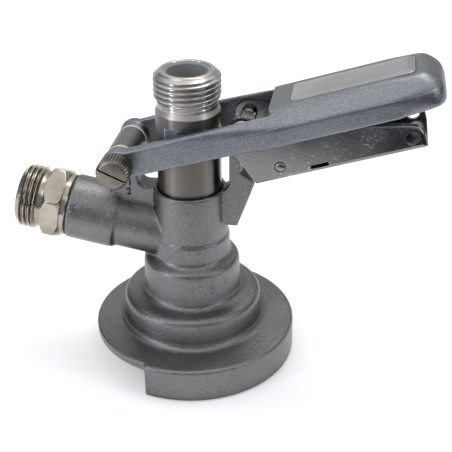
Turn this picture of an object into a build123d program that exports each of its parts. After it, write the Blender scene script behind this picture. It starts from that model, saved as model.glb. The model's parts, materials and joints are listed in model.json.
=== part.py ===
from build123d import *
import os
from math import asin, cos, degrees, radians, sin, sqrt, tan

# Keg coupler of the flat sliding kind, in millimetres.
# The origin is under the skirt, on the probe axis, with +Z up. The slideway
# opens towards -X, where the gas inlet also points, and the handle is at +X.
os.makedirs("parts", exist_ok=True)

# ---- driving dimensions -------------------------------------------------
thread_radius = 11.456          # G 5/8 major radius, beer outlet and gas inlet
running_gap = 0.3               # free space between pieces that pass each other
pin_clearance = 0.06            # radial clearance of a pin in its bush
overcut = 1.0                   # how far a cutting tool runs past a face
cut_reach = 60.0                # a cutting tool that has to clear the whole object

# body: skirt, slideway and stepped column
skirt_radius = 37.6
disc_inset = 1.6                # the disc is exposed this far inside the skirt
disc_radius = skirt_radius - disc_inset
disc_under = 9.5
disc_top = 12.5
skirt_end_x = -11.1
rim_relief = 0.9                # cut above the disc where the skirt ends
skirt_wall = 3.4
slide_radius = skirt_radius - skirt_wall
slide_floor = 3.5
lip_width = 4.7
lip_radius = slide_radius - lip_width
shoulder_radius = 25.15
shoulder_top = 24.6
neck_radius = 17.5
neck_top = 38.8
column_radius = 13.9
column_step = 48.0
upper_column_radius = 13.3
rim_radius = 12.85
rim_top = 66.6
column_bore = 11.35
bore_bottom = 16.0
mouth_radius = 13.0

# rubber seal over the keg valve
keg_seal_radius = 21.2
keg_seal_seat = 14.0
keg_seal_bore = 12.4

# body: gas branch, which rises away from the column
branch_root_z = 47.1
branch_rise = 10.6
branch_radius = 10.6
branch_step = 26.5
socket_radius = 11.66
socket_end = 44.1
socket_thread_radius = 8.8
socket_depth = 13.0
valve_chamber_radius = 6.4
valve_chamber_depth = 6.5
gas_port_radius = 3.0

# gas inlet: gasket, collar, hexagon and nipple
gasket = 0.45
collar_radius = 11.2
collar_end = 46.5
hex_across_flats = 23.8
hex_end = 53.0
hex_turn = 55.5
nipple_end = 62.8
nipple_bore = 5.6

# body: fin that carries the pivot barrel and the locking edge
fin_half = 4.1
fin_left_x = -27.4
left_notch_x = -18.0
right_notch_x = 14.5
notch_corner = 3.0
post_x = 18.4
post_top = 83.0
land_inner_z = 74.2
lock_corner = (23.3, 70.0)
lock_foot = (17.3, 53.3)
fin_foot_z = 53.7

# lever and its pivot
pivot_x = -22.1
pivot_z = 79.0
lever_rise = 17.4
barrel_radius = 5.2
barrel_half = 8.0
bush_wall = 1.0
bush_flange = 0.8
screw_radius = 3.0
arm_inner = 11.8
arm_outer = 15.0
arm_half_height = 4.8
arm_end_radius = 5.5
bevel_start = 33.0
bevel_full = 56.0
handle_start = 54.5
handle_end = 110.3
handle_half_width = 15.3
handle_bottom = -6.0
handle_top = 5.8
handle_corner = 6.5
parting_height = 0.4
bevel_width = 4.6
cavity_half_width = 12.4
cavity_end = 107.2
cavity_roof = 2.8
label_start = 61.5
label_end = 102.5
label_half_width = 7.9
label_depth = 1.0
label_corner = 2.2

# probe and its drive by the lever
probe_radius = 11.2
probe_top = 109.5
thread_start = 100.4
relief_radius = 10.3
shoulder_z = 95.3
stud_radius = 4.7
stud_end = 9.5
flat_depth = 2.0
probe_waist_radius = 8.6
waist_top = 62.0
probe_foot_z = 13.0
liner_radius = 8.0
liner_bore = 6.9
liner_foot = 36.0

# probe: rings, foot, ball valve
oring_minor = 0.9
probe_oring_z = 65.0
foot_seal_radius = 9.9
foot_seal_top = 17.5
foot_spigot_radius = 7.9
cage_radius = 7.2
cage_bore = 6.3
ball_seat_z = 18.5
ball_seat_radius = 4.6
ball_radius = 5.5
ball_gap = 0.03
ball_lift = 4.0
guide_low = 29.0
guide_high = 33.0

# trigger under the handle
hinge_u = 43.0
hinge_v = -1.75
hinge_pin_radius = 2.75
ear_radius = 4.7
sheet = 1.2
trigger_half_width = 11.5
trigger_floor = -18.9
trigger_left = 43.5
trigger_right = 101.2
catch_radius = 47.9
catch_top = -11.0
catch_length = 12.1
catch_end = catch_radius + catch_length
rivet_inset = 5.1
rivet_u = catch_radius + rivet_inset
rivet_v = -14.4
rivet_radius = 2.0
window_start = 62.7
window_end = 68.9
window_low = 1.3
window_high = 2.7
grip_hole_u = 97.1
grip_hole_v = -14.9
grip_hole_radius = 2.35

# pivot screw's head
screw_head_radius = 6.1
screw_head_depth = 6.2
screw_slot = 0.9

# trigger pins and spring
pin_seat_depth = 1.9
far_pin_end = 7.9
near_pin_end = 5.1
pin_head = 0.5
pin_head_radius = 5.3
spring_wire = 0.55
spring_radius = 3.95
spring_bearing = 3.1            # how far the lower leg reaches over the catch block

# where the lever's drive studs stand
stud_u = -pivot_x / cos(radians(lever_rise))
stud_z = pivot_z + stud_u * sin(radians(lever_rise))


# ---- helpers ------------------------------------------------------------
def outline(corners):
    """A face through corners (x, y, radius), each rounded by its radius."""
    count = len(corners)
    stations = []
    for i, (x, y, radius) in enumerate(corners):
        here = Vector(x, y)
        back = (Vector(*corners[i - 1][:2]) - here).normalized()
        ahead = (Vector(*corners[(i + 1) % count][:2]) - here).normalized()
        if radius == 0:
            stations.append((here, None, here))
            continue
        half_angle = radians(back.get_angle(ahead)) / 2
        reach = radius / tan(half_angle)
        depth = radius / sin(half_angle) - radius
        middle = here + (back + ahead).normalized() * depth
        stations.append((here + back * reach, middle, here + ahead * reach))
    edges = []
    for i, (start, middle, end) in enumerate(stations):
        if middle is not None:
            edges.append(ThreePointArc(start, middle, end))
        edges.append(Line(end, stations[(i + 1) % count][0]))
    return make_face(edges)


def turned(corners):
    """A solid of revolution about Z from corners (radius, height, rounding)."""
    return revolve(Plane.XZ * outline(corners), Axis.Z)


def slab(face, low_y, high_y):
    """An XZ outline made solid between two heights along Y."""
    return extrude(Plane.XZ.offset(-low_y) * face, low_y - high_y)


def block(x_span, y_span, z_span):
    """A box between two corners, given as a span along each axis."""
    size = [span[1] - span[0] for span in (x_span, y_span, z_span)]
    middle = [(span[1] + span[0]) / 2 for span in (x_span, y_span, z_span)]
    return Pos(*middle) * Box(*size)


def disc(radius, low_z, high_z):
    """A cylinder about Z between two heights."""
    return Pos(0, 0, (low_z + high_z) / 2) * Cylinder(radius, high_z - low_z)


def crossbar(u, v, radius, low_y, high_y):
    """A cylinder along Y, centred on (u, v)."""
    turned_rod = Rot(90, 0, 0) * Cylinder(radius, high_y - low_y)
    return Pos(u, (low_y + high_y) / 2, v) * turned_rod


def both_sides(shape):
    """The shape and its mirror image across the plane Y = 0."""
    return [shape, mirror(shape, Plane.XZ)]


def in_lever(shape):
    """Lever coordinates (u along the arms, v across) put at the pivot."""
    return Pos(pivot_x, 0, pivot_z) * Rot(0, -lever_rise, 0) * shape


def in_branch(shape):
    """A piece turned about Z laid along the gas branch, Z pointing outwards."""
    return Pos(0, 0, branch_root_z) * Rot(0, branch_rise - 90, 0) * shape


def write(name, *shapes):
    """One STEP file for one node."""
    group = shapes[0] if len(shapes) == 1 else Compound(children=list(shapes))
    group.label = name
    export_step(group, f"parts/{name}.step")


# ---- body ---------------------------------------------------------------
def body_bell():
    """The stepped bell and column, turned in one profile."""
    return turned([
        (0, 0, 0),
        (skirt_radius, 0, 0.8),
        (skirt_radius - 0.1, disc_top, 1.3),
        (shoulder_radius + 0.15, disc_top + 1.0, 2.5),
        (shoulder_radius, shoulder_top, 2.2),
        (neck_radius + 0.1, shoulder_top + 0.8, 2.0),
        (neck_radius - 0.1, neck_top, 1.6),
        (column_radius, neck_top + 1.8, 2.5),
        (column_radius, column_step, 0.25),
        (upper_column_radius, column_step + 0.4, 0.25),
        (rim_radius, rim_top, 0.4),
        (0, rim_top, 0),
    ])


def slideway(radius, low_z, high_z):
    """The U-shaped space that the keg flange slides into from -X."""
    reach = skirt_radius + overcut
    straight = block((-reach, 0), (-radius, radius), (low_z, high_z))
    return disc(radius, low_z, high_z) + straight


def left_fin():
    """The web from the column and branch up to the pivot barrel."""
    return slab(outline([
        (fin_left_x, branch_root_z + 8, 0),
        (-rim_radius + overcut, branch_root_z, 0),
        (-rim_radius + overcut, rim_top, 0),
        (left_notch_x, rim_top, notch_corner),
        (left_notch_x, pivot_z, 0),
        (pivot_x - barrel_radius, pivot_z, 0),
    ]), -fin_half, fin_half)


def right_fin():
    """The web that carries the locking land, its corner and the edge below."""
    return slab(outline([
        (rim_radius - overcut, fin_foot_z, 0),
        (lock_foot[0], lock_foot[1], 0.6),
        (lock_corner[0], lock_corner[1], 0.5),
        (lock_corner[0] - 0.1, lock_corner[1] + 1.6, 0.4),
        (post_x + 0.2, land_inner_z, 0.6),
        (post_x, post_top, 1.2),
        (right_notch_x, post_top, 1.2),
        (right_notch_x, rim_top, notch_corner),
        (rim_radius - overcut, rim_top, 0),
    ]), -fin_half, fin_half)


def body_casting():
    bell = body_bell()
    branch = in_branch(disc(branch_radius, 0, branch_step + 0.5))
    socket = in_branch(disc(socket_radius, branch_step, socket_end))
    socket = chamfer(socket.edges().filter_by(GeomType.CIRCLE), 0.4)
    barrel = crossbar(pivot_x, pivot_z, barrel_radius, -barrel_half, barrel_half)
    solid = bell + branch + socket + left_fin() + right_fin() + barrel
    solid -= disc(column_bore, bore_bottom, rim_top + overcut)
    solid -= disc(mouth_radius, -overcut, bore_bottom)
    solid -= disc(keg_seal_radius, disc_under - overcut, keg_seal_seat)
    solid -= slideway(slide_radius, slide_floor, disc_under)
    solid -= slideway(lip_radius, -overcut, slide_floor + overcut)
    behind_skirt = ((-cut_reach, skirt_end_x), (-cut_reach, cut_reach))
    solid -= block(*behind_skirt, (-overcut, disc_under))
    ring = disc(cut_reach, disc_under - overcut, disc_top + rim_relief)
    ring -= disc(disc_radius, 0, disc_top + overcut)
    solid -= ring & block(*behind_skirt, (0, disc_top + overcut))
    chamber_start = socket_end - socket_depth
    solid -= in_branch(disc(socket_thread_radius, chamber_start, socket_end + 1))
    chamber_end = chamber_start - valve_chamber_depth
    solid -= in_branch(disc(valve_chamber_radius, chamber_end, chamber_start + 1))
    solid -= in_branch(disc(gas_port_radius, 8, chamber_end + 1))
    bore = barrel_radius - bush_wall
    solid -= crossbar(pivot_x, pivot_z, bore, -barrel_half - 1, barrel_half + 1)
    return solid


def keg_seal():
    """The rubber ring that the keg valve closes against."""
    return turned([
        (keg_seal_bore, disc_under - 0.3, 0.4),
        (keg_seal_bore + 3.0, disc_under + 0.6, 0.3),
        (keg_seal_radius - 3.0, disc_under + 0.6, 0.3),
        (keg_seal_radius, disc_under - 0.3, 0.4),
        (keg_seal_radius, keg_seal_seat, 0),
        (keg_seal_bore, keg_seal_seat, 0),
    ])


def pivot_bushes():
    """Flanged bushes pressed into both ends of the barrel."""
    bore = screw_radius + pin_clearance
    sleeve_end = barrel_half - 6.0
    flange_end = barrel_half + bush_flange
    sleeve = crossbar(0, 0, barrel_radius - bush_wall, sleeve_end, flange_end)
    flange = crossbar(0, 0, barrel_radius - 0.2, barrel_half, flange_end)
    bush = sleeve + flange - crossbar(0, 0, bore, 0, flange_end + 1)
    return both_sides(in_lever(bush))


# ---- gas inlet ----------------------------------------------------------
def gas_nipple():
    base = socket_end + gasket
    chamber_start = socket_end - socket_depth
    turned_part = turned([
        (nipple_bore, chamber_start + 3.0, 0),
        (socket_thread_radius, chamber_start + 3.0, 0.5),
        (socket_thread_radius, base, 0),
        (collar_radius, base, 0.3),
        (collar_radius, collar_end, 0),
        (relief_radius, hex_end, 0),
        (relief_radius, hex_end + 3.0, 0.4),
        (thread_radius, hex_end + 4.0, 0),
        (thread_radius, nipple_end - 1.1, 0),
        (thread_radius - 1.1, nipple_end, 0),
        (nipple_bore + 1.2, nipple_end, 0.3),
        (nipple_bore, nipple_end - 1.2, 0),
    ])
    corner_radius = hex_across_flats / sqrt(3)
    flats = extrude(RegularPolygon(corner_radius, 6), hex_end - collar_end)
    flats = Pos(0, 0, collar_end) * Rot(0, 0, hex_turn) * flats
    crown = turned([
        (0, collar_end, 0),
        (hex_across_flats / 2 + 0.2, collar_end, 0),
        (corner_radius, collar_end + 1.0, 0),
        (corner_radius, hex_end - 1.0, 0),
        (hex_across_flats / 2 + 0.2, hex_end, 0),
        (0, hex_end, 0),
    ])
    hexagon = (flats & crown) - disc(nipple_bore, collar_end - 1, hex_end + 1)
    return in_branch(turned_part + hexagon)


def gas_nipple_seal():
    ring = disc(collar_radius - 0.4, socket_end, socket_end + gasket)
    ring -= disc(socket_thread_radius, socket_end - 1, socket_end + 1)
    return in_branch(ring)


def gas_lip_valve():
    """A rubber duckbill that lets gas in and keeps beer out of the gas line."""
    seat = socket_end - socket_depth
    rim = disc(valve_chamber_radius - 0.2, seat - 1.6, seat)
    bill = turned([(0, seat - 6.0, 0), (3.6, seat - 6.0, 0), (4.4, seat, 0), (0, seat, 0)])
    for side in (-1, 1):
        wedge = Pos(0, side * 4.6, seat - 6.0) * Rot(-side * 24, 0, 0) * Box(12, 6, 14)
        bill -= wedge
    valve = rim + bill - disc(2.6, seat - 2.4, seat + 1)
    slit = block((-2.2, 2.2), (-0.15, 0.15), (seat - 7.0, seat - 2.0))
    return in_branch(valve - slit)


def gas_valve_ring():
    """The plastic ring that the nipple presses against the duckbill's rim."""
    seat = socket_end - socket_depth
    ring = disc(socket_thread_radius - 0.3, seat, seat + 3.0) - disc(4.6, seat - 1, seat + 4)
    return in_branch(ring)


# ---- probe --------------------------------------------------------------
def probe_tube():
    groove_floor = probe_radius - 0.1 - 2 * oring_minor + 0.2
    groove = oring_minor + 0.1
    tube = turned([
        (foot_spigot_radius, probe_foot_z, 0),
        (foot_spigot_radius, foot_seal_top, 0),
        (probe_waist_radius, foot_seal_top, 0),
        (probe_waist_radius, waist_top - 2.0, 1.0),
        (probe_radius, waist_top, 0.4),
        (probe_radius, probe_oring_z - groove, 0),
        (groove_floor, probe_oring_z - groove, 0),
        (groove_floor, probe_oring_z + groove, 0),
        (probe_radius, probe_oring_z + groove, 0),
        (probe_radius, shoulder_z, 0.25),
        (relief_radius, shoulder_z + 1.7, 0.3),
        (relief_radius, thread_start - 0.8, 0.3),
        (thread_radius, thread_start, 0),
        (thread_radius, probe_top - 2.0, 0.8),
        (thread_radius - 1.9, probe_top, 0.5),
        (liner_radius, probe_top, 0.2),
        (liner_radius, liner_foot, 0),
        (cage_radius, liner_foot, 0),
        (cage_radius, probe_foot_z, 0),
    ])
    flat = probe_radius - flat_depth
    slot = stud_radius + running_gap + 0.05
    pocket = block((-cut_reach, cut_reach), (-cut_reach, -flat), (stud_z - slot, stud_z + slot))
    for cut in both_sides(pocket):
        tube -= cut
    return tube


def probe_liner():
    """The grey plastic flow sleeve seen in the mouth of the probe."""
    return turned([
        (liner_bore, liner_foot, 0),
        (liner_radius, liner_foot, 0),
        (liner_radius, probe_top - 0.3, 0),
        (liner_bore + 0.5, probe_top - 0.3, 0),
        (liner_bore, probe_top - 0.8, 0),
    ])


def probe_oring():
    return Pos(0, 0, probe_oring_z) * Torus(probe_radius + 0.1 - oring_minor, oring_minor)


def probe_foot_seal():
    """The rubber ring on the probe's foot, which pushes the keg valve open."""
    return turned([
        (foot_spigot_radius, probe_foot_z - 0.3, 0.3),
        (foot_seal_radius - 1.0, probe_foot_z - 0.3, 0.6),
        (foot_seal_radius, probe_foot_z + 1.2, 0.6),
        (foot_seal_radius, foot_seal_top - 1.2, 0.6),
        (probe_waist_radius, foot_seal_top, 0),
        (foot_spigot_radius, foot_seal_top, 0),
    ])


def probe_guide_ring():
    """A slotted ring that centres the waist in the bore and lets gas past."""
    ring = disc(column_bore - 0.1, guide_low, guide_high)
    ring -= disc(probe_waist_radius, guide_low - 1, guide_high + 1)
    for turn in range(6):
        notch = block((9.6, 13.0), (-1.8, 1.8), (guide_low - 1, guide_high + 1))
        ring -= Rot(0, 0, 60 * turn) * notch
    return ring


def ball_cage():
    """The sleeve that holds the check ball over its seat."""
    ball_z = ball_seat_z + ball_gap + sqrt(ball_radius**2 - ball_seat_radius**2)
    roof = ball_z + ball_radius + ball_lift + running_gap
    cage = disc(cage_radius, probe_foot_z, roof + 1.6)
    cage -= disc(cage_bore, ball_seat_z, roof + 3)
    cage -= disc(ball_seat_radius, probe_foot_z - 1, ball_seat_z + 1)
    bar = block((-cage_bore - 0.4, cage_bore + 0.4), (-0.9, 0.9), (roof, roof + 1.6))
    return cage + bar + Rot(0, 0, 90) * bar


def check_ball():
    ball_z = ball_seat_z + ball_gap + sqrt(ball_radius**2 - ball_seat_radius**2)
    return Pos(0, 0, ball_z) * Sphere(ball_radius)


# ---- lever --------------------------------------------------------------
def section(u, bottom, side, edge_height, top_side):
    """A cross-section of the arms at u, with bevelled upper corners."""
    points = [
        (-side, bottom), (side, bottom), (side, edge_height),
        (top_side, arm_half_height), (-top_side, arm_half_height), (-side, edge_height),
    ]
    face = make_face(Polyline(*points, close=True))
    across = Plane(origin=(u, 0, 0), x_dir=(0, 1, 0), z_dir=(1, 0, 0))
    return across * face


def arm_blank():
    """Both arms as one bar, straight at first, then bevelled into the handle."""
    low_start = -arm_half_height
    low_bevel = low_start - 0.5
    low_full = handle_bottom + 0.05
    edge_start = arm_half_height - 0.9
    slope = bevel_width / (handle_top - parting_height)
    full_top = handle_half_width - (arm_half_height - parting_height) * slope
    root = section(0.0, low_start, arm_outer, edge_start, arm_outer - 0.9)
    start = section(bevel_start, low_bevel, arm_outer, edge_start, arm_outer - 0.9)
    full = section(bevel_full, low_full, handle_half_width, parting_height, full_top)
    straight = loft([root, start], ruled=True)
    bevelled = loft([start, full], ruled=True)
    ends = crossbar(0, 0, arm_end_radius, -arm_outer, arm_outer)
    return straight + bevelled + ends


def handle_shell():
    """The hollow grip, open below, with a rounded bevel all round its top."""
    plan = outline([
        (handle_start, -handle_half_width, 0),
        (handle_end, -handle_half_width, handle_corner),
        (handle_end, handle_half_width, handle_corner),
        (handle_start, handle_half_width, 0),
    ])
    grip = Pos(0, 0, handle_bottom) * extrude(plan, handle_top - handle_bottom)
    top_face = grip.faces().sort_by(Axis.Z)[-1]
    rims = top_face.edges().sort_by(Axis.X)[1:]
    grip = chamfer(rims, bevel_width, handle_top - parting_height, reference=top_face)
    ridge = grip.faces().sort_by(Axis.Z)[-1].edges().sort_by(Axis.X)[1:]
    grip = fillet(ridge, 3.0)
    return grip


def lever_casting():
    solid = arm_blank() + handle_shell()
    solid -= block((-cut_reach, handle_start), (-arm_inner, arm_inner), (-cut_reach, cut_reach))
    cavity = outline([
        (handle_start - 1, -cavity_half_width, 0),
        (cavity_end, -cavity_half_width, 4.0),
        (cavity_end, cavity_half_width, 4.0),
        (handle_start - 1, cavity_half_width, 0),
    ])
    solid -= Pos(0, 0, -cut_reach) * extrude(cavity, cavity_roof + cut_reach)
    recess = label_outline(0)
    solid -= Pos(0, 0, handle_top - label_depth) * extrude(recess, 5)
    boss_end = barrel_half + bush_flange + running_gap
    solid += both_sides(crossbar(0, 0, barrel_radius, -arm_inner - 0.5, -boss_end))
    solid += both_sides(crossbar(stud_u, 0, stud_radius, -arm_inner - 0.5, -stud_end))
    solid -= crossbar(0, 0, screw_radius + 0.05, -arm_outer - 1, 0)
    solid -= crossbar(0, 0, screw_radius, 0, arm_outer + 1)
    for hole in both_sides(hinge_pin_hole()):
        solid -= hole
    return in_lever(solid)


def label_outline(clearance):
    half = label_half_width - clearance
    low, high = label_start + clearance, label_end - clearance
    corner = label_corner - clearance
    return outline([
        (low, -half, corner), (high, -half, corner), (high, half, corner), (low, half, corner),
    ])


def label_plate():
    """The domed plate let into the top of the handle."""
    plate = extrude(label_outline(0.15), label_depth + 0.2)
    rim = plate.faces().sort_by(Axis.Z)[-1].edges()
    plate = fillet(rim, 0.5)
    return in_lever(Pos(0, 0, handle_top - label_depth) * plate)


def pivot_screw():
    """The knurled screw that is undone with a coin to lift the lever off."""
    head_face = -arm_outer - screw_head_depth
    head = crossbar(0, 0, screw_head_radius, head_face, -arm_outer)
    head = chamfer(head.edges().filter_by(GeomType.CIRCLE).sort_by(Axis.Y)[0], 0.6)
    slot = block((-10, 10), (head_face - 1, head_face + 1.6), (-screw_slot / 2, screw_slot / 2))
    shank = crossbar(0, 0, screw_radius, -arm_outer, arm_outer - 0.3)
    return in_lever(head - Rot(0, 24 + lever_rise, 0) * slot + shank)


# ---- trigger ------------------------------------------------------------
def hinge_pin_hole():
    seat = -arm_inner - pin_seat_depth
    return crossbar(hinge_u, hinge_v, hinge_pin_radius, seat, -arm_inner + 1)


def trigger_pins():
    """A short pin in each arm; the near one also carries the spring."""
    seat = arm_inner + pin_seat_depth
    near = crossbar(hinge_u, hinge_v, hinge_pin_radius, -seat, -near_pin_end)
    near += crossbar(hinge_u, hinge_v, pin_head_radius, -near_pin_end, pin_head - near_pin_end)
    far = crossbar(hinge_u, hinge_v, hinge_pin_radius, far_pin_end, seat)
    far = chamfer(far.edges().filter_by(GeomType.CIRCLE).sort_by(Axis.Y)[0], 0.4)
    return [in_lever(near), in_lever(far)]


def trigger_channel():
    """A folded sheet channel with an ear on each wall."""
    ear_side = hinge_u - ear_radius
    walls = outline([
        (trigger_left, trigger_floor, 0),
        (trigger_right, trigger_floor, 0.5),
        (trigger_right, -11.2, 4.5),
        (95.0, -9.2, 6.0),
        (hinge_u, 3.05, 0),
        (hinge_u, hinge_v, 0),
        (ear_side + 0.2, hinge_v - 1.0, 0),
    ]) + Pos(hinge_u, hinge_v) * Circle(ear_radius)
    shell = slab(walls, -trigger_half_width, trigger_half_width)
    floor_edges = shell.faces().sort_by(Axis.Z)[0].edges().filter_by(Axis.X)
    shell = fillet(floor_edges, sheet + 0.3)
    inside = trigger_half_width - sheet
    hollow = block((0, 2 * cut_reach), (-inside, inside), (trigger_floor + sheet, cut_reach))
    shell -= hollow
    hinge_bore = hinge_pin_radius + pin_clearance
    shell -= crossbar(hinge_u, hinge_v, hinge_bore, -cut_reach, cut_reach)
    shell -= crossbar(rivet_u, rivet_v, rivet_radius, -cut_reach, cut_reach)
    shell -= crossbar(grip_hole_u, grip_hole_v, grip_hole_radius, -cut_reach, cut_reach)
    window_v = (trigger_floor + window_low, trigger_floor + window_high)
    shell -= block((window_start, window_end), (-cut_reach, cut_reach), window_v)
    return in_lever(shell)


def catch_block():
    """The steel block whose curved nose runs along the fin's edge."""
    floor_v = trigger_floor + sheet
    low = (sqrt(catch_radius**2 - floor_v**2), floor_v)
    high = (sqrt(catch_radius**2 - catch_top**2), catch_top)
    middle_v = (floor_v + catch_top) / 2
    middle = (sqrt(catch_radius**2 - middle_v**2), middle_v)
    face = make_face([
        ThreePointArc(low, middle, high),
        Line(high, (catch_end, catch_top)),
        Line((catch_end, catch_top), (catch_end, floor_v)),
        Line((catch_end, floor_v), low),
    ])
    inside = trigger_half_width - sheet
    body = slab(face, -inside, inside)
    return in_lever(body - crossbar(rivet_u, rivet_v, rivet_radius, -cut_reach, cut_reach))


def catch_rivet():
    end = trigger_half_width + 0.15
    rivet = crossbar(rivet_u, rivet_v, rivet_radius, -end, end)
    rivet = chamfer(rivet.edges().filter_by(GeomType.CIRCLE), 0.3)
    return in_lever(rivet)


def rod(start, end, radius):
    """A round wire between two points."""
    way = Vector(*end) - Vector(*start)
    plane = Plane(origin=start, z_dir=way)
    return extrude(plane * Circle(radius), way.length)


def trigger_spring():
    """The torsion spring: one leg under the handle, one on the catch block."""
    first_y, last_y = -9.5, -5.9
    turns = 2 + 150 / 360
    pitch = (last_y - first_y) / turns
    coil_path = Helix(pitch, last_y - first_y, spring_radius, lefthand=True)
    start = Plane(origin=coil_path @ 0, z_dir=coil_path % 0)
    coil = sweep(start * Circle(spring_wire), coil_path, is_frenet=True)
    coil = Rot(0, 0, -90) * coil
    coil = Pos(hinge_u, first_y, hinge_v) * Rot(-90, 0, 0) * coil
    top = (hinge_u, first_y, hinge_v + spring_radius)
    upper_leg = rod(top, (hinge_u + 16, first_y, hinge_v + spring_radius + 0.02), spring_wire)
    elbow = Pos(*top) * Sphere(spring_wire + 0.06)
    angle = radians(240)
    low = (
        hinge_u + spring_radius * cos(angle), last_y, hinge_v + spring_radius * sin(angle),
    )
    nose_u = sqrt(catch_radius**2 - catch_top**2)
    foot = (nose_u + spring_bearing, last_y, catch_top + spring_wire + running_gap)
    lower_leg = rod(low, foot, spring_wire)
    return in_lever(coil + elbow + upper_leg + lower_leg)


# ---- write --------------------------------------------------------------
write("body_casting", body_casting())
write("keg_seal", keg_seal())
write("pivot_bushes", *pivot_bushes())
write("gas_nipple", gas_nipple())
write("gas_nipple_seal", gas_nipple_seal())
write("gas_lip_valve", gas_lip_valve())
write("gas_valve_ring", gas_valve_ring())
write("probe_tube", probe_tube())
write("probe_liner", probe_liner())
write("probe_oring", probe_oring())
write("probe_foot_seal", probe_foot_seal())
write("probe_guide_ring", probe_guide_ring())
write("ball_cage", ball_cage())
write("check_ball", check_ball())
write("lever_casting", lever_casting())
write("label_plate", label_plate())
write("pivot_screw", pivot_screw())
write("trigger_pins", *trigger_pins())
write("trigger_channel", trigger_channel())
write("catch_block", catch_block())
write("catch_rivet", catch_rivet())
write("trigger_spring", trigger_spring())
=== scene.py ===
import json
import math

import bmesh
import bpy
from mathutils import Matrix, Vector


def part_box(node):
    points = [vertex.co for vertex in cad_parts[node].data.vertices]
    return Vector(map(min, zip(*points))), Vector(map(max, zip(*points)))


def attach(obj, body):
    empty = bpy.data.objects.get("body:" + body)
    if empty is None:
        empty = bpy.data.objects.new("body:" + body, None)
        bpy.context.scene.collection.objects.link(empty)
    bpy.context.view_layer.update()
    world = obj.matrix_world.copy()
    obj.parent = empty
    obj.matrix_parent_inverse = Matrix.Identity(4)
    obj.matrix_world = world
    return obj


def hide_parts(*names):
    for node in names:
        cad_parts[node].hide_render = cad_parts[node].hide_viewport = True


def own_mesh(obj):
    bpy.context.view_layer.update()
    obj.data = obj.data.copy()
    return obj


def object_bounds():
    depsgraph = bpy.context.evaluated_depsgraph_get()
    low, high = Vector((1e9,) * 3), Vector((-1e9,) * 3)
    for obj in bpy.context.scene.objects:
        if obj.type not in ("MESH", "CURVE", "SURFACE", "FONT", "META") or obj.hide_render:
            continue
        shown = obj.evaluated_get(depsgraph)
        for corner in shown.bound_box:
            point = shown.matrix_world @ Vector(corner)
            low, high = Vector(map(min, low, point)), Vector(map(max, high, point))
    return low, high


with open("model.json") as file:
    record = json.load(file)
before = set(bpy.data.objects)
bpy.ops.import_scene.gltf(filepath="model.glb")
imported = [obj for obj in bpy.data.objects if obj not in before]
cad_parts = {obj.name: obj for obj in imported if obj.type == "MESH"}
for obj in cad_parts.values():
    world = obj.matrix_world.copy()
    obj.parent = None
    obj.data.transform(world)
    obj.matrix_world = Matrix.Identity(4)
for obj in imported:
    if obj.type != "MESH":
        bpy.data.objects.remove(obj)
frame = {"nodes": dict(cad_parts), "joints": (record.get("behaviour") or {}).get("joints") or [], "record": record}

cad_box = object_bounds()
nodes = frame["nodes"]
mounts = {mount["name"]: mount for mount in frame["record"]["mounts"]}
joints = {joint["name"]: joint for joint in frame["joints"]}
mm = 0.001

# ---- sizes shared with the CAD model, in millimetres ---------------------
thread_radius = mounts["beer_outlet"]["dims"]["r_mm"]
relief_radius = 10.3

probe_radius = 11.2
probe_shoulder = 95.3
thread_start = 100.4
liner_radius = 8.0
liner_foot = 36.0
cage_radius = 7.2
foot_spigot_radius = 7.9
foot_seal_top = 17.5
probe_waist_radius = 8.6
waist_top = 62.0
oring_z = 65.0
oring_groove = 1.0
oring_floor = 9.5
flat_reach = 9.2
pocket_low = 80.91
pocket_high = 91.61

nipple_foot = 34.1
nipple_seat = 44.55
socket_thread_radius = 8.8
collar_radius = 11.2
collar_end = 46.5
hex_end = 53.0
hex_across_flats = 23.8
hex_turn = 55.5
nipple_end = 62.8
nipple_bore = 5.6

lever_rise = 17.4
arm_outer = 15.0
screw_radius = 3.0
screw_end = 14.7

handle_top = 5.8
parting_height = 0.4
label_start = 61.65
label_end = 102.35
label_half_width = 7.75
label_corner = 2.2
label_depth = 1.0

fin_face = -4.1

# ---- sizes of what the scene adds, or shapes otherwise than the CAD ------
thread_pitch = 1.814
thread_depth = 1.05
hex_chamfer = 1.7
head_radius = 5.6
head_depth = 6.8
slot_width = 0.75
slot_depth = 1.6
slot_turn = -24
knurl_teeth = 34
knurl_depth = 0.42
casting_voxel = 0.4
number_size = 3.5
turned_segments = 240

# ---- where the lever and the gas branch lie ------------------------------
pivot = Vector(joints["lever_pivot"]["pos_m"])
lever_frame = Matrix.Translation(pivot) @ Matrix.Rotation(math.radians(-lever_rise), 4, "Y")

inlet = mounts["gas_inlet"]
inlet_axis = Vector(inlet["axis"]).normalized()
inlet_place = Vector(inlet["pos_m"])
branch_root = inlet_place - inlet_axis * (inlet_place.x / inlet_axis.x)
branch_rise = math.degrees(math.asin(inlet_axis.z))
branch_turn = Matrix.Rotation(math.radians(branch_rise - 90), 4, "Y")
branch_frame = Matrix.Translation(branch_root) @ branch_turn
quarter_turn = Matrix.Rotation(math.radians(90), 4, "X")


# ---- mesh helpers --------------------------------------------------------
def placed(name, data):
    """A new object in the scene, standing at the origin."""
    piece = bpy.data.objects.new(name, data)
    bpy.context.scene.collection.objects.link(piece)
    return piece


def add_mesh(name, vertices, faces, sharp_angle=35.0):
    """A smooth-shaded object whose edges stay sharp above an angle."""
    mesh = bpy.data.meshes.new(name)
    mesh.from_pydata(vertices, [], faces)
    mesh.validate()
    work = bmesh.new()
    work.from_mesh(mesh)
    bmesh.ops.recalc_face_normals(work, faces=work.faces)
    work.to_mesh(mesh)
    work.free()
    mesh.shade_smooth()
    mesh.set_sharp_from_angle(angle=math.radians(sharp_angle))
    return placed(name, mesh)


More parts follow.
